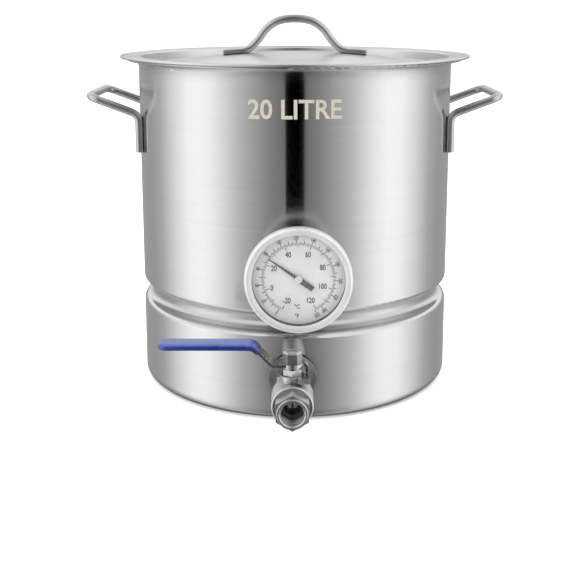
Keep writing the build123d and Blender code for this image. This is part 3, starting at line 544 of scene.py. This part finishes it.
def lid_handle_rod():
    """The rod: each foot lies on the dome and flattens out beyond its ankle."""
    top = handle_top - ROD_R
    rise = [Vector((x * MM, 0, top - drop * MM)) for x, drop in HANDLE_RISE]
    fall = [Vector((-p.x, 0, p.z)) for p in reversed(rise[:-1])]
    route = smooth_route(rise + fall, 8)
    rings = []
    for point, ahead in zip(route, directions(route)):
        foot = ease(abs(point.x), *ANKLE)
        wide = ROD_R + (FOOT_HALF_W - ROD_R) * foot
        thick = ROD_R + (FOOT_HALF_T - ROD_R) * foot
        outward = ahead.cross(SIDEWAYS).normalized()
        power = ROD_POWER + (FOOT_POWER - ROD_POWER) * foot
        rings.append(rounded_ring(point, SIDEWAYS * wide, outward * thick, power, ROD_SIDES))
    ways = directions(route)
    first_toe = worn_toe(rings[0], -ways[0])
    last_toe = worn_toe(rings[-1], ways[-1])
    vertices, faces = skin([first_toe, *rings, last_toe])
    piece("lid_handle_rod", vertices, faces, handle_steel, "lid", ["lid_handle"])


# ---- blue grip, dipped over the lever's plate ----
PLATE_T = 2.5 * MM
GRIP_HALF_W = 10.0 * MM
GRIP_HALF_T = 2.7 * MM
LEVER_LOW_Z = washer_top + PLATE_T / 2
LEVER_HIGH_Z = LEVER_LOW_Z + 16.2 * MM
LEVER_RISE_X = 16.5 * MM
LEVER_RUN = 16.0 * MM
GRIP_FROM = 28.0 * MM
GRIP_TO = 110.2 * MM
TIP_CORNER_R = 7.0 * MM
TIP_EDGE_R = 2.2 * MM
MOUTH_RUN = 1.2 * MM
BEND = 2.014 * MM
GRIP_POWER = 4.6
GRIP_SIDES = 48
GRIP_STEPS = 90


def shrink(left, corner):
    """How far a rounded corner draws in, at a distance from its end."""
    inside = max(0.0, corner - left)
    return corner - math.sqrt(corner**2 - inside**2)


def grip():
    """The dipped grip: it follows the lever's slope, bends and runs level to a rounded tip."""
    slope = (LEVER_HIGH_Z - LEVER_LOW_Z) / LEVER_RUN
    line = []
    for i in range(GRIP_STEPS + 1):
        away = GRIP_FROM + (GRIP_TO - GRIP_FROM) * math.sin(math.pi / 2 * i / GRIP_STEPS)
        sloped = LEVER_LOW_Z + (away - LEVER_RISE_X) * slope
        # the two straight runs meet in a rounded bend
        apart = sloped - LEVER_HIGH_Z
        level = LEVER_HIGH_Z + (apart - math.hypot(apart, BEND)) / 2
        line.append(Vector((stem_centre.x - away, stem_centre.y, level)))
    rings = []
    for point, ahead in zip(line, directions(line)):
        away = stem_centre.x - point.x
        mouth = 1 - ease(away, GRIP_FROM, GRIP_FROM + MOUTH_RUN)
        wide = (GRIP_HALF_W - shrink(GRIP_TO - away, TIP_CORNER_R)) * (1 - 0.05 * mouth)
        thick = (GRIP_HALF_T - 0.5 * shrink(GRIP_TO - away, TIP_EDGE_R)) * (1 - 0.15 * mouth)
        outward = ahead.cross(SIDEWAYS).normalized()
        rings.append(rounded_ring(point, SIDEWAYS * wide, outward * thick, GRIP_POWER, GRIP_SIDES))
    vertices, faces = skin(rings)
    made = piece("grip", vertices, faces, grip_blue, "lever", ["lever_grip"])
    # the photograph's steel doesn't mirror the grip
    made.visible_glossy = False


# ---- dial print ----
INK_T = 0.04 * MM
SCALE_COLD_DEG = -66.0  # clockwise from straight up, at 20 degrees Celsius
SCALE_PER_C = 2.17
CELSIUS_R = 30.2 * MM
FAHRENHEIT_R = 31.0 * MM
CELSIUS_NUMBERS_R = 22.8 * MM
FAHRENHEIT_NUMBERS_R = 35.7 * MM
CELSIUS_TICKS = (3.6 * MM, 2.6 * MM, 1.4 * MM)  # every 20 degrees, every 10 and the rest
FAHRENHEIT_TICKS = (3.4 * MM, 2.4 * MM, 1.2 * MM)
TICK_W = 0.65 * MM
FINE_TICK_W = 0.44 * MM
SCALE_LINE_W = 0.3 * MM
ARC_STEPS = 140
CELSIUS_NUMBER_H = 5.2 * MM
FAHRENHEIT_NUMBER_H = 3.3 * MM
DIGIT_SHIFT = 1.2 * MM  # how much further in a number stands for each digit past two


def dial_angle(celsius):
    """Radians clockwise from straight up."""
    return math.radians(SCALE_COLD_DEG + SCALE_PER_C * (celsius - 20))


def dial_point(radius, angle, lift=0.0):
    """A point of the print, seen from the front."""
    x = dial_centre.x + radius * math.sin(angle)
    z = dial_centre.z + radius * math.cos(angle)
    return Vector((x, dial_front - lift, z))


def slab(outline):
    """A thin slab of ink over an outline of the dial, given as (x, z) offsets."""
    count = len(outline)
    vertices = []
    for lift in (0.0, INK_T):
        for x, z in outline:
            vertices.append(Vector((dial_centre.x + x, dial_front - lift, dial_centre.z + z)))
    faces = [tuple(reversed(range(count))), tuple(range(count, 2 * count))]
    for k in range(count):
        after = (k + 1) % count
        faces.append((k, after, count + after, count + k))
    return vertices, faces


def tick(angle, start, end, width):
    """A radial line of the scale."""
    c, s = math.cos(angle), math.sin(angle)
    outline = []
    for radius, side in ((start, -1), (start, 1), (end, 1), (end, -1)):
        shift = side * width / 2
        outline.append((radius * s + shift * c, radius * c - shift * s))
    return slab(outline)


def circle_line(radius, width, start, end):
    """The scale's line, from one angle to another."""
    inner = radius - width / 2
    outer = radius + width / 2
    rings = []
    for i in range(ARC_STEPS + 1):
        angle = start + (end - start) * i / ARC_STEPS
        rings.append(
            [
                dial_point(inner, angle),
                dial_point(outer, angle),
                dial_point(outer, angle, INK_T),
                dial_point(inner, angle, INK_T),
            ]
        )
    return skin(rings)


def lettering(text, height, squeeze, bold=0.0):
    """The text as a flat mesh in x and y, centred: its front has z above 0 and its back below."""
    curve = bpy.data.curves.new("letters", "FONT")
    curve.body = text
    curve.extrude = 0.001  # only sets the front apart from the back
    curve.offset = bold
    curve.resolution_u = 3
    holder = bpy.data.objects.new("letters", curve)
    bpy.context.scene.collection.objects.link(holder)
    mesh = bpy.data.meshes.new_from_object(holder.evaluated_get(bpy.context.evaluated_depsgraph_get()))
    vertices = [v.co.copy() for v in mesh.vertices]
    faces = [tuple(p.vertices) for p in mesh.polygons]
    bpy.data.objects.remove(holder)
    bpy.data.meshes.remove(mesh)
    low = Vector(min(v[i] for v in vertices) for i in range(3))
    high = Vector(max(v[i] for v in vertices) for i in range(3))
    centre = (low + high) / 2
    size = height / (high.y - low.y)
    placed = []
    for v in vertices:
        away = (v - centre) * size
        placed.append(Vector((away.x * squeeze, away.y, away.z)))
    return placed, faces


def printed(text, height, squeeze, x, z, turn, bold=0.0):
    """Lettering on the dial at an offset from its centre, turned clockwise."""
    vertices, faces = lettering(text, height, squeeze, bold)
    c, s = math.cos(turn), math.sin(turn)
    placed = []
    for v in vertices:
        across = x + v.x * c + v.y * s
        level = z - v.x * s + v.y * c
        lift = INK_T if v.z > 0 else 0.0
        placed.append(Vector((dial_centre.x + across, dial_front - lift, dial_centre.z + level)))
    return placed, faces


def tick_size(degrees, lengths):
    """The length and width of the tick at a round or an odd number of degrees."""
    if degrees % 20 == 0:
        return lengths[0], TICK_W
    if degrees % 10 == 0:
        return lengths[1], TICK_W
    return lengths[2], FINE_TICK_W


def to_celsius(fahrenheit):
    """Degrees Celsius for degrees Fahrenheit."""
    return (fahrenheit - 32) / 1.8


def scale_marks():
    """The ticks and lines of both scales."""
    parts = []
    for celsius in range(-20, 121, 2):
        length, width = tick_size(celsius, CELSIUS_TICKS)
        parts.append(tick(dial_angle(celsius), CELSIUS_R - length, CELSIUS_R, width))
    for fahrenheit in range(0, 251, 5):
        length, width = tick_size(fahrenheit, FAHRENHEIT_TICKS)
        angle = dial_angle(to_celsius(fahrenheit))
        parts.append(tick(angle, FAHRENHEIT_R, FAHRENHEIT_R + length, width))
    parts.append(circle_line(CELSIUS_R, SCALE_LINE_W, dial_angle(-20), dial_angle(120)))
    ends = (dial_angle(to_celsius(0)), dial_angle(to_celsius(250)))
    parts.append(circle_line(FAHRENHEIT_R, SCALE_LINE_W, *ends))
    return parts


def dial_print():
    """Both scales with their numbers and unit signs."""
    parts = scale_marks()
    for celsius in range(-20, 121, 20):
        angle = dial_angle(celsius)
        radius = CELSIUS_NUMBERS_R - (len(str(celsius)) - 2) * DIGIT_SHIFT
        x = radius * math.sin(angle)
        z = radius * math.cos(angle)
        parts.append(printed(str(celsius), CELSIUS_NUMBER_H, 0.74, x, z, 0.0, bold=0.028))
    for fahrenheit in (*range(0, 241, 20), 250):
        angle = dial_angle(to_celsius(fahrenheit))
        x = FAHRENHEIT_NUMBERS_R * math.sin(angle)
        z = FAHRENHEIT_NUMBERS_R * math.cos(angle)
        parts.append(printed(str(fahrenheit), FAHRENHEIT_NUMBER_H, 0.72, x, z, angle, bold=0.03))
    parts.append(printed("°C", 4.3 * MM, 0.85, -1.1 * MM, -24.4 * MM, 0.0, bold=0.03))
    parts.append(printed("°F", 4.1 * MM, 0.85, -1.5 * MM, -32.7 * MM, 0.0, bold=0.03))
    vertices, faces = join(parts)
    piece("dial_print", vertices, faces, dial_ink, "kettle", smooth=False)


# ---- capacity printed on the wall ----
POT_R = 151.5 * MM
PRINT_T = 0.16 * MM
PRINT_Z = 278.0 * MM
PRINT_H = 17.0 * MM


def capacity_print():
    """The capacity in flat letters, wrapped round the wall."""
    vertices, faces = lettering("20 LITRE", PRINT_H, 0.95, bold=0.02)
    wrapped = []
    for v in vertices:
        angle = v.x / POT_R
        radius = POT_R + (PRINT_T if v.z > 0 else 0.0)
        wrapped.append(Vector((radius * math.sin(angle), -radius * math.cos(angle), PRINT_Z + v.y)))
    piece("capacity_print", wrapped, faces, print_beige, "kettle", smooth=False)


# ---- dark ring between the dial and its window; its black paints the shade inside the case's recess ----
SPACER_IN_R = 39.8 * MM
SPACER_OUT_R = 42.2 * MM
SPACER_FRONT = 5.6 * MM
SPACER_GAP = 0.1 * MM
SPACER_CHAMFER = 0.3 * MM
SPACER_STEPS = 96


def dial_spacer():
    """The ring that holds the window off the dial; its black colour paints the shade inside the recess.
    """
    section = (
        (SPACER_OUT_R, SPACER_GAP),
        (SPACER_OUT_R, SPACER_FRONT),
        (SPACER_IN_R + SPACER_CHAMFER, SPACER_FRONT),
        (SPACER_IN_R, SPACER_FRONT - SPACER_CHAMFER),
        (SPACER_IN_R, SPACER_GAP),
    )
    rings = []
    for i in range(SPACER_STEPS):
        angle = math.tau * i / SPACER_STEPS
        rings.append([dial_point(radius, angle, lift) for radius, lift in section])
    vertices, faces = skin(rings, closed=True)
    # black ring: painted shade in the recess under the bezel
    piece("dial_spacer", vertices, faces, gasket_black, "kettle", smooth=False)


# ---- pipe threads, along the kettle's depth ----
THREAD_PITCH = 1.814 * MM
THREAD_ROOT = 0.06 * MM
THREAD_STEPS = 48  # for each turn
THREAD_FOOT = 0.46  # half the ridge's width at its foot and at its crest, by the pitch
THREAD_CREST = 0.08
THREAD_FADE = 30  # steps over which a ridge rises at its ends
OUTLET_BORE_R = 9.9 * MM
OUTLET_THREAD_IN = 1.0 * MM
STUB_R = 10.4 * MM
STUB_THREAD_IN = 12.5 * MM


def thread(name, start, radius, depth, length, finish):
    """A helical ridge; depth is positive outwards from the radius and negative inwards."""
    side = SIDEWAYS.orthogonal().normalized()
    other = SIDEWAYS.cross(side)
    turns = (length - THREAD_PITCH) / THREAD_PITCH
    steps = int(turns * THREAD_STEPS)
    half = SIDEWAYS * THREAD_PITCH * THREAD_FOOT
    flat = SIDEWAYS * THREAD_PITCH * THREAD_CREST
    rings = []
    for i in range(steps + 1):
        angle = math.tau * turns * i / steps
        fade = min(1.0, i / THREAD_FADE, (steps - i) / THREAD_FADE)
        outward = side * math.cos(angle) + other * math.sin(angle)
        level = start + SIDEWAYS * (THREAD_PITCH * turns * i / steps + THREAD_PITCH / 2)
        root = level + outward * (radius - math.copysign(THREAD_ROOT, depth))
        crest = level + outward * (radius + depth * (0.02 + 0.98 * fade))
        rings.append([root - half, crest - flat, crest + flat, root + half])
    vertices, faces = skin(rings)
    piece(name, vertices, faces, finish, "kettle")


def threads():
    """The thread inside the valve's mouth, and the one on the thermometer's inner stub."""
    outlet = Vector((valve_centre.x, outlet_front + OUTLET_THREAD_IN, valve_centre.z))
    thread(
        "outlet_thread",
        outlet,
        radius=OUTLET_BORE_R,
        depth=-0.8 * MM,
        length=13.0 * MM,
        finish=valve_turned_steel,
    )
    stub = Vector((dial_centre.x, stub_end - STUB_THREAD_IN, dial_centre.z))
    thread(
        "stub_thread",
        stub,
        radius=STUB_R,
        depth=0.5 * MM,
        length=12.0 * MM,
        finish=dial_turned_steel,
    )


# ---- false bottom: woven wire cloth ----
CLOTH_PITCH = 3.5 * MM
CLOTH_WIRE_R = 0.35 * MM
THIN_WIRE_SIDES = 4


def woven_wire(row, lengthwise, radius, level):
    """One wire of the cloth, which passes over and under the ones that cross it."""
    offset = row * CLOTH_PITCH
    half = math.sqrt(radius**2 - offset**2)
    crossings = int(half / CLOTH_PITCH)
    way = 1 if lengthwise else -1
    route = [(-half, 0.0)]
    for i in range(-2 * crossings, 2 * crossings + 1):
        phase = way * math.cos(math.pi * (i / 2 + row))
        route.append((i / 2 * CLOTH_PITCH, phase * CLOTH_WIRE_R))
    route.append((half, 0.0))
    placed = []
    for along, lift in route:
        at = (along, offset) if lengthwise else (offset, along)
        placed.append(Vector((*at, level + lift)))
    return wire(placed, CLOTH_WIRE_R, THIN_WIRE_SIDES)


def screen_cloth():
    """Woven wires both ways across the false bottom's disc."""
    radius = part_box("screen_mesh")[1].x
    level = middle("screen_mesh").z
    count = int(radius / CLOTH_PITCH)
    parts = []
    for row in range(-count, count + 1):
        if math.sqrt(radius**2 - (row * CLOTH_PITCH) ** 2) < CLOTH_PITCH:
            continue
        for lengthwise in (True, False):
            parts.append(woven_wire(row, lengthwise, radius, level))
    vertices, faces = join(parts)
    piece(
        "screen_cloth", vertices, faces, wire_steel, "false_bottom", ["screen_mesh"]
    )


# ---- filter tube: braided wire, round at the wall and pressed flat at its end ----
BRAID_WIRES = 28
BRAID_WIRE_R = 0.3 * MM
BRAID_TURNS = 1.9
BRAID_ROUND = 101.6 * MM  # the length that isn't pressed flat
BRAID_FLAT_T = 1.5 * MM
BRAID_UNDER_COLLAR = 1.3 * MM
BRAID_EDGE = 0.4 * MM
BRAID_STEPS = 90


def braid_strand(strand, family, start, end, centre, radius, flat_w):
    """One wire of the braid; the two families wind opposite ways."""
    route = []
    for i in range(BRAID_STEPS + 1):
        share = i / BRAID_STEPS
        y = start + (end - start) * share
        flatten = max(0.0, (y - start - BRAID_ROUND) / (end - start - BRAID_ROUND))
        wide = radius + (flat_w - radius) * flatten
        thick = radius + (BRAID_FLAT_T - radius) * flatten
        angle = math.tau * (strand / BRAID_WIRES + family * BRAID_TURNS * share)
        over = math.cos(math.tau * BRAID_WIRES * BRAID_TURNS * share + math.pi * strand)
        bulge = 1 + family * over * BRAID_WIRE_R / radius
        x = centre.x + wide * bulge * math.cos(angle)
        z = centre.z + thick * bulge * math.sin(angle)
        route.append(Vector((x, y, z)))
    return wire(route, BRAID_WIRE_R, THIN_WIRE_SIDES)


def filter_braid():
    """Two families of wires wound opposite ways from the collar to the crimped end."""
    low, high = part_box("filter_tube")
    collar_low, collar_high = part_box("filter_collar")
    centre = middle("filter_collar")
    radius = (collar_high.z - collar_low.z) / 2 - BRAID_UNDER_COLLAR
    flat_w = (high.x - low.x) / 2 - BRAID_EDGE
    parts = []
    for family in (-1, 1):
        for strand in range(BRAID_WIRES):
            parts.append(braid_strand(strand, family, low.y, high.y, centre, radius, flat_w))
    vertices, faces = join(parts)
    piece("filter_braid", vertices, faces, wire_steel, "kettle", ["filter_tube"])


lid_handle_rod()
grip()
dial_print()
dial_spacer()
capacity_print()
threads()
screen_cloth()
filter_braid()


# ======== studio ========
# How bright the studio is round the pot, by degrees away from the front: a dark gap in front,
# two long soft panels at the sides and dimmer walls behind.
PANELS = (
    (0.0, 0.0),
    (6.2, 0.0),
    (7.6, 0.20),
    (12.0, 0.24),
    (20.0, 0.32),
    (30.0, 0.45),
    (40.0, 0.62),
    (50.0, 0.88),
    (60.0, 1.14),
    (70.0, 1.29),
    (82.0, 1.26),
    (95.0, 0.98),
    (105.0, 0.74),
    (115.0, 0.52),
    (130.0, 0.40),
    (180.0, 0.38),
)
# The dark gap in front reaches up this far, and fades out between these two azimuths.
GAP_REACH = math.radians(62)
GAP_FADE = (math.radians(10), math.radians(28))
# Heights over which the panels give way to the ceiling, the ceiling dims to the zenith and the
# walls dim towards the ground.
CEILING_RISE = (math.radians(3), math.radians(20))
ZENITH_RISE = (math.radians(28), math.radians(85))
GROUND_FALL = (math.radians(-6), math.radians(-60))
CEILING = 1.05
ZENITH = 0.55
GROUND_SHARE = 0.66
AMBIENT = 1.08  # what the camera and matt surfaces see all round


def studio():
    """A studio that only mirror rays see; other rays meet a plain pale surround."""
    world = bpy.data.worlds.new("studio")
    bpy.context.scene.world = world
    world.use_nodes = True
    tree = world.node_tree
    background = tree.nodes["Background"]
    ray = add_node(tree, "ShaderNodeTexCoord").outputs["Generated"]
    parts = add_node(tree, "ShaderNodeSeparateXYZ", {0: ray})
    forward = math_node(tree, "MULTIPLY", parts.outputs[1], -1.0)
    azimuth = math_node(tree, "ABSOLUTE", math_node(tree, "ARCTAN2", parts.outputs[0], forward))
    share = math_node(tree, "DIVIDE", azimuth, math.pi)
    ramp = add_node(tree, "ShaderNodeValToRGB", {0: share})
    stops = ramp.color_ramp.elements
    while len(stops) < len(PANELS):
        stops.new(0.5)
    for stop, (degrees, level) in zip(stops, PANELS):
        stop.position = degrees / 180
        stop.color = (level, level, level, 1)
    height = math_node(tree, "ARCSINE", parts.outputs[2])
    reach = span(tree, azimuth, *GAP_FADE, GAP_REACH, 0.0, smooth=True)
    lifted = math_node(tree, "SUBTRACT", height, reach)
    above = span(tree, lifted, *CEILING_RISE, 0.0, 1.0, smooth=True)
    overhead = span(tree, height, *ZENITH_RISE, CEILING, ZENITH, smooth=True)
    sky = add_node(tree, "ShaderNodeCombineColor", {0: overhead, 1: overhead, 2: overhead})
    lit = add_node(
        tree, "ShaderNodeMix", {0: above, 6: ramp.outputs[0], 7: sky.outputs[0]}, data_type="RGBA"
    )
    below = span(tree, height, *GROUND_FALL, 1.0, GROUND_SHARE, smooth=True)
    dimmed = scaled_vector(tree, lit.outputs[2], below)
    path = add_node(tree, "ShaderNodeLightPath")
    plain = math_node(tree, "MAXIMUM", path.outputs["Is Camera Ray"], path.outputs["Is Diffuse Ray"])
    shown = add_node(
        tree,
        "ShaderNodeMix",
        {0: plain, 6: dimmed, 7: (AMBIENT, AMBIENT, AMBIENT, 1)},
        data_type="RGBA",
    )
    tree.links.new(shown.outputs[2], background.inputs["Color"])


FLOOR_HALF = 20.0
FLOOR_Z = -0.2 * MM


def floor():
    """A wide matt white floor, which steel doesn't mirror."""
    mesh = bpy.data.meshes.new("floor")
    corners = ((-1, -1), (1, -1), (1, 1), (-1, 1))
    mesh.from_pydata([(x * FLOOR_HALF, y * FLOOR_HALF, FLOOR_Z) for x, y in corners], [], [(0, 1, 2, 3)])
    white, _, shader = new_finish("floor_white")
    shader.inputs["Base Color"].default_value = (0.95, 0.95, 0.95, 1)
    shader.inputs["Roughness"].default_value = 0.9
    # a weak glow keeps the floor as pale as the photograph's ground
    shader.inputs["Emission Color"].default_value = (1, 1, 1, 1)
    shader.inputs["Emission Strength"].default_value = 0.3
    mesh.materials.append(white)
    made = bpy.data.objects.new("floor", mesh)
    made.visible_glossy = False
    bpy.context.scene.collection.objects.link(made)


def lamp(name, place, aim, size, power):
    """A square soft lamp that steel doesn't mirror."""
    light = bpy.data.lights.new(name, "AREA")
    light.size = size
    light.energy = power
    made = bpy.data.objects.new(name, light)
    made.location = place
    made.rotation_euler = (Vector(aim) - Vector(place)).to_track_quat("-Z", "Y").to_euler()
    made.visible_glossy = False
    bpy.context.scene.collection.objects.link(made)


CAMERA_AT = (0.0, -1.00757, 0.36952)
CAMERA_PITCH_DEG = 11.231  # below level
CAMERA_LENS_MM = 63.9
CAMERA_SHIFT = (-0.0128, -0.15)


def camera():
    """The photograph's viewpoint, in front of the kettle and a little above it."""
    data = bpy.data.cameras.new("camera")
    data.lens = CAMERA_LENS_MM
    data.sensor_width = 36.0
    data.shift_x, data.shift_y = CAMERA_SHIFT
    made = bpy.data.objects.new("camera", data)
    made.location = CAMERA_AT
    made.rotation_euler = (math.radians(90 - CAMERA_PITCH_DEG), 0.0, 0.0)
    bpy.context.scene.collection.objects.link(made)
    bpy.context.scene.camera = made


studio()
floor()
lamp("overhead", place=(0.0, -0.3, 2.2), aim=(0.0, 0.0, 0.1), size=2.4, power=40.0)
lamp("front_left", place=(-1.6, -2.0, 1.4), aim=(0.0, 0.0, 0.15), size=1.2, power=18.0)
camera()
bpy.context.scene.view_settings.view_transform = "Standard"
